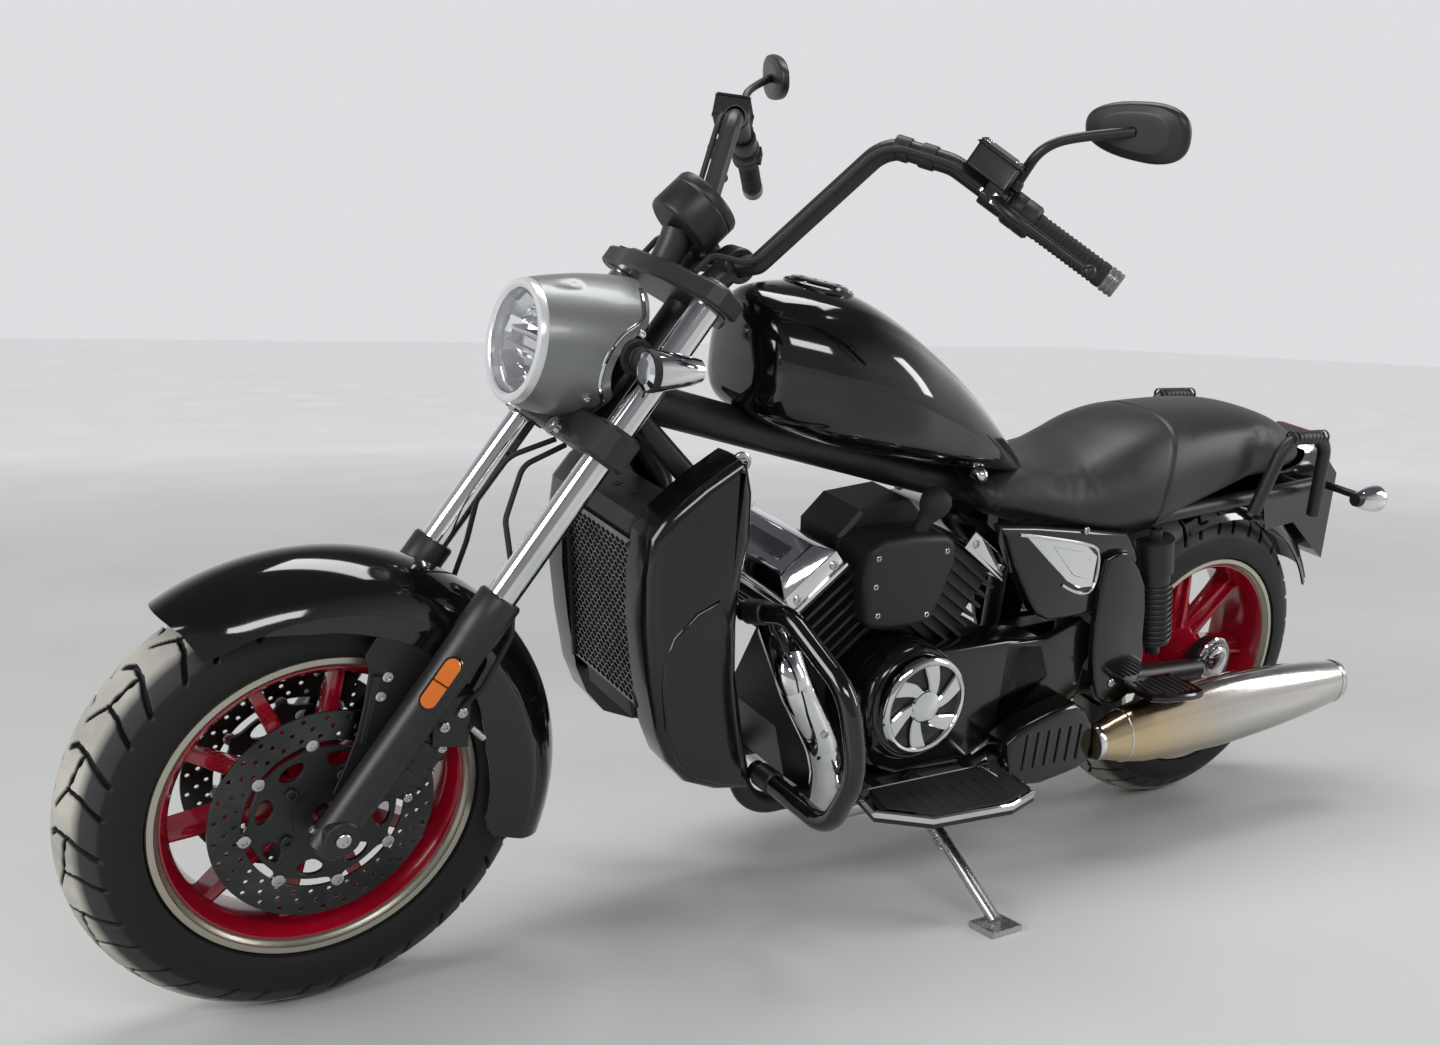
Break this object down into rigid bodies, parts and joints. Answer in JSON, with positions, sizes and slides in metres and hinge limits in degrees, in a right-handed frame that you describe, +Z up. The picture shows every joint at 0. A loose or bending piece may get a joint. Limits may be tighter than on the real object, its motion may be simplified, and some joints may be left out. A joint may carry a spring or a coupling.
{
  "type": "cruiser motorcycle",
  "caption": "Long, low cruiser motorcycle with raked fork, round headlamp, wide handlebar, V engine, two-up saddle and twin mufflers, leaning on its side stand.",
  "frame": {"origin": "middle of the machine's footprint box, on the ground", "axes": "+X forward, +Y to its left, +Z up; the machine leans to +Y on its stand"},
  "size_m": [2.3965, 1.0446, 1.4367],
  "materials": {
    "black_plastic": "grained black moulding",
    "chrome": "polished chrome plate",
    "disc": "drilled brake steel",
    "engine": "black-coated castings",
    "gloss_black": "gloss black lacquer",
    "gloss_plastic": "gloss black moulding",
    "leather": "black stitched leather",
    "lens": "clear faceted lens",
    "red": "candy red cast alloy",
    "rubber": "black rubber",
    "satin_black": "satin black powder coat",
    "silver": "satin silver-grey metallic",
    "steel": "brushed steel, heat-tinted at the front",
    "tyre": "black tyre rubber"
  },
  "bodies": {
    "chassis": {"crankcase": "engine", "crash_bars": "satin_black", "cylinders": "engine", "engine_side_covers": "engine", "final_drive_cover": "chrome", "floorboards": "rubber", "foot_controls": "satin_black", "frame": "satin_black", "fuel_tank": "gloss_black", "grab_loops": "rubber", "header_pipes": "chrome", "intake_housing": "black_plastic", "mufflers": "steel", "passenger_pegs": "rubber", "radiator": "black_plastic", "radiator_shrouds": "gloss_plastic", "rear_axle": "steel", "rear_caliper": "satin_black", "rear_fender": "gloss_black", "rear_shocks": "satin_black", "rear_turn_signals": "chrome", "rocker_covers": "chrome", "saddle": "leather", "side_covers": "gloss_plastic", "silencer_boxes": "engine", "swingarm": "satin_black", "tail_lamp": "lens", "vane_cover": "chrome"},
    "fork": {"fork_sliders": "satin_black", "fork_tubes": "chrome", "front_axle": "steel", "front_fender": "gloss_black", "front_calipers": "satin_black", "lower_clamp": "satin_black", "upper_clamp": "satin_black", "headlamp_nacelle": "silver", "headlamp_lens": "lens", "handlebar": "satin_black", "gauge_pod": "black_plastic", "grips": "rubber", "switch_housings": "black_plastic", "hand_controls": "satin_black", "mirrors": "satin_black", "front_turn_signals": "chrome", "control_cables": "rubber", "brake_hoses": "rubber"},
    "front_wheel": {"front_tyre": "tyre", "front_rim": "red", "front_discs": "disc"},
    "rear_wheel": {"rear_tyre": "tyre", "rear_rim": "red", "rear_disc": "disc"},
    "side_stand": {"side_stand": "chrome"}
  },
  "joints": [
    {"name": "steering", "type": "hinge", "parent": "chassis", "child": "fork", "pos_m": [0.48363, -0.08489, 0.80644], "axis": [-0.5592, 0.1487, 0.8156], "range_deg": [-32, 32]},
    {"name": "front_wheel_spin", "type": "hinge", "parent": "fork", "child": "front_wheel", "pos_m": [0.88425, -0.17536, 0.31008], "axis": [0, 0.9838, -0.1793], "continuous": true},
    {"name": "rear_wheel_spin", "type": "hinge", "parent": "chassis", "child": "rear_wheel", "pos_m": [-0.86035, -0.17551, 0.30924], "axis": [0, 0.9838, -0.1793], "continuous": true},
    {"name": "stand_swing", "type": "hinge", "parent": "chassis", "child": "side_stand", "pos_m": [-0.09035, -0.06806, 0.17378], "axis": [-0.0992, 0.603, 0.7915], "range_deg": [0, 88]}
  ]
}
